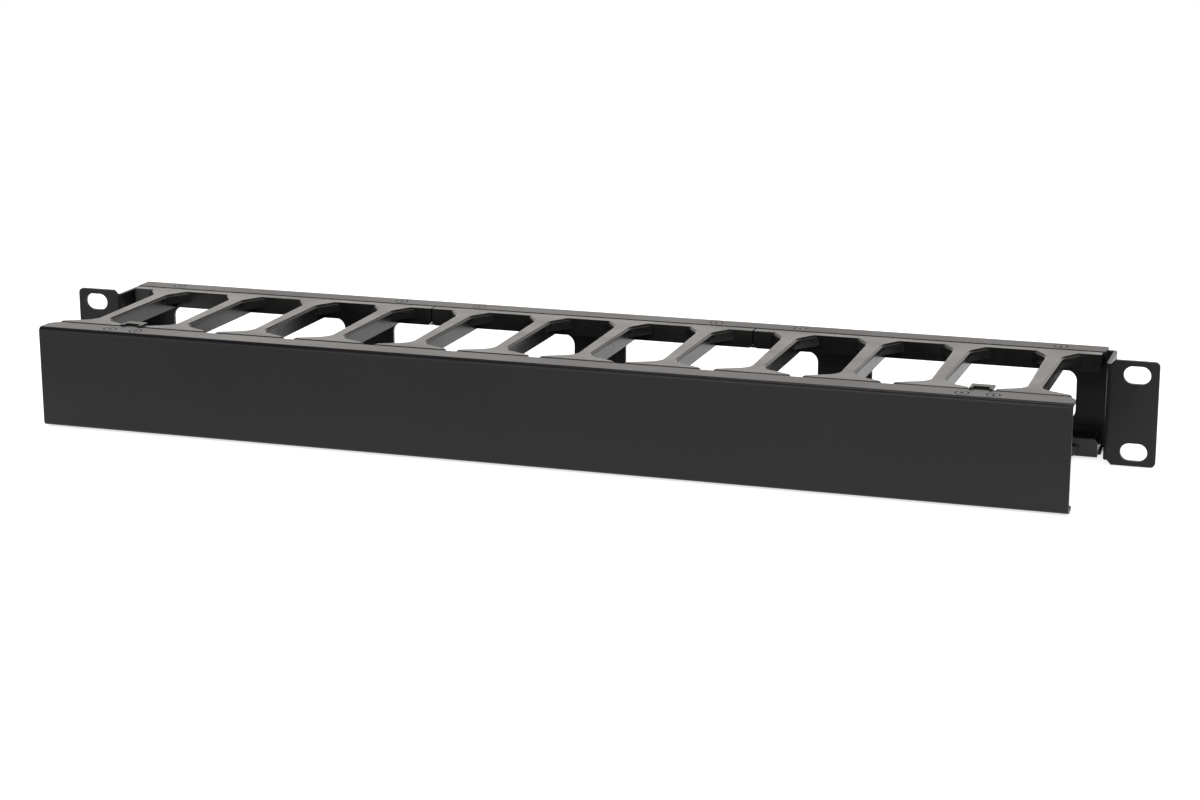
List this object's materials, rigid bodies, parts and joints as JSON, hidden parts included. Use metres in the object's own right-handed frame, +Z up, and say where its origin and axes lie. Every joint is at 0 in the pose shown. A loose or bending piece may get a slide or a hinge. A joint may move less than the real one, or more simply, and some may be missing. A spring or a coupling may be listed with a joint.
{
  "type": "horizontal cable manager",
  "caption": "Rack-mount horizontal cable manager: folded steel channel with rear windows, plastic finger combs above and below, and a hinged front cover on snap clips.",
  "frame": {"origin": "midway between the ears, on their rear faces, which meet the rack rails", "axes": "+X along the length to the right seen from the front, +Y to the rear of the rack, +Z up"},
  "size_m": [0.4826, 0.1003, 0.044],
  "materials": {
    "channel_steel": "fine-textured black powder coat, satin",
    "cover_steel": "fine-textured charcoal powder coat, satin",
    "comb_plastic": "moulded black plastic with a light spark texture",
    "clip_plastic": "moulded black plastic",
    "screw_steel": "black zinc plating"
  },
  "bodies": {
    "frame": {"back_channel": "channel_steel", "comb_top_left": "comb_plastic", "comb_top_middle": "comb_plastic", "comb_top_right": "comb_plastic", "comb_bottom_left": "comb_plastic", "comb_bottom_middle": "comb_plastic", "comb_bottom_right": "comb_plastic", "comb_screw_top_1": "screw_steel", "comb_screw_top_2": "screw_steel", "comb_screw_top_3": "screw_steel", "comb_screw_top_4": "screw_steel", "comb_screw_top_5": "screw_steel", "comb_screw_top_6": "screw_steel", "comb_screw_bottom_1": "screw_steel", "comb_screw_bottom_2": "screw_steel", "comb_screw_bottom_3": "screw_steel", "comb_screw_bottom_4": "screw_steel", "comb_screw_bottom_5": "screw_steel", "comb_screw_bottom_6": "screw_steel"},
    "cover": {"cover": "cover_steel", "clip_top_left": "clip_plastic", "clip_top_right": "clip_plastic", "clip_bottom_left": "clip_plastic", "clip_bottom_right": "clip_plastic", "clip_screw_top_1": "screw_steel", "clip_screw_top_2": "screw_steel", "clip_screw_top_3": "screw_steel", "clip_screw_top_4": "screw_steel", "clip_screw_bottom_1": "screw_steel", "clip_screw_bottom_2": "screw_steel", "clip_screw_bottom_3": "screw_steel", "clip_screw_bottom_4": "screw_steel"}
  },
  "joints": [
    {"name": "cover_hinge", "type": "hinge", "parent": "frame", "child": "cover", "pos_m": [0, -0.06195, 0.0201], "axis": [-1, 0, 0], "range_deg": [0, 130]}
  ]
}
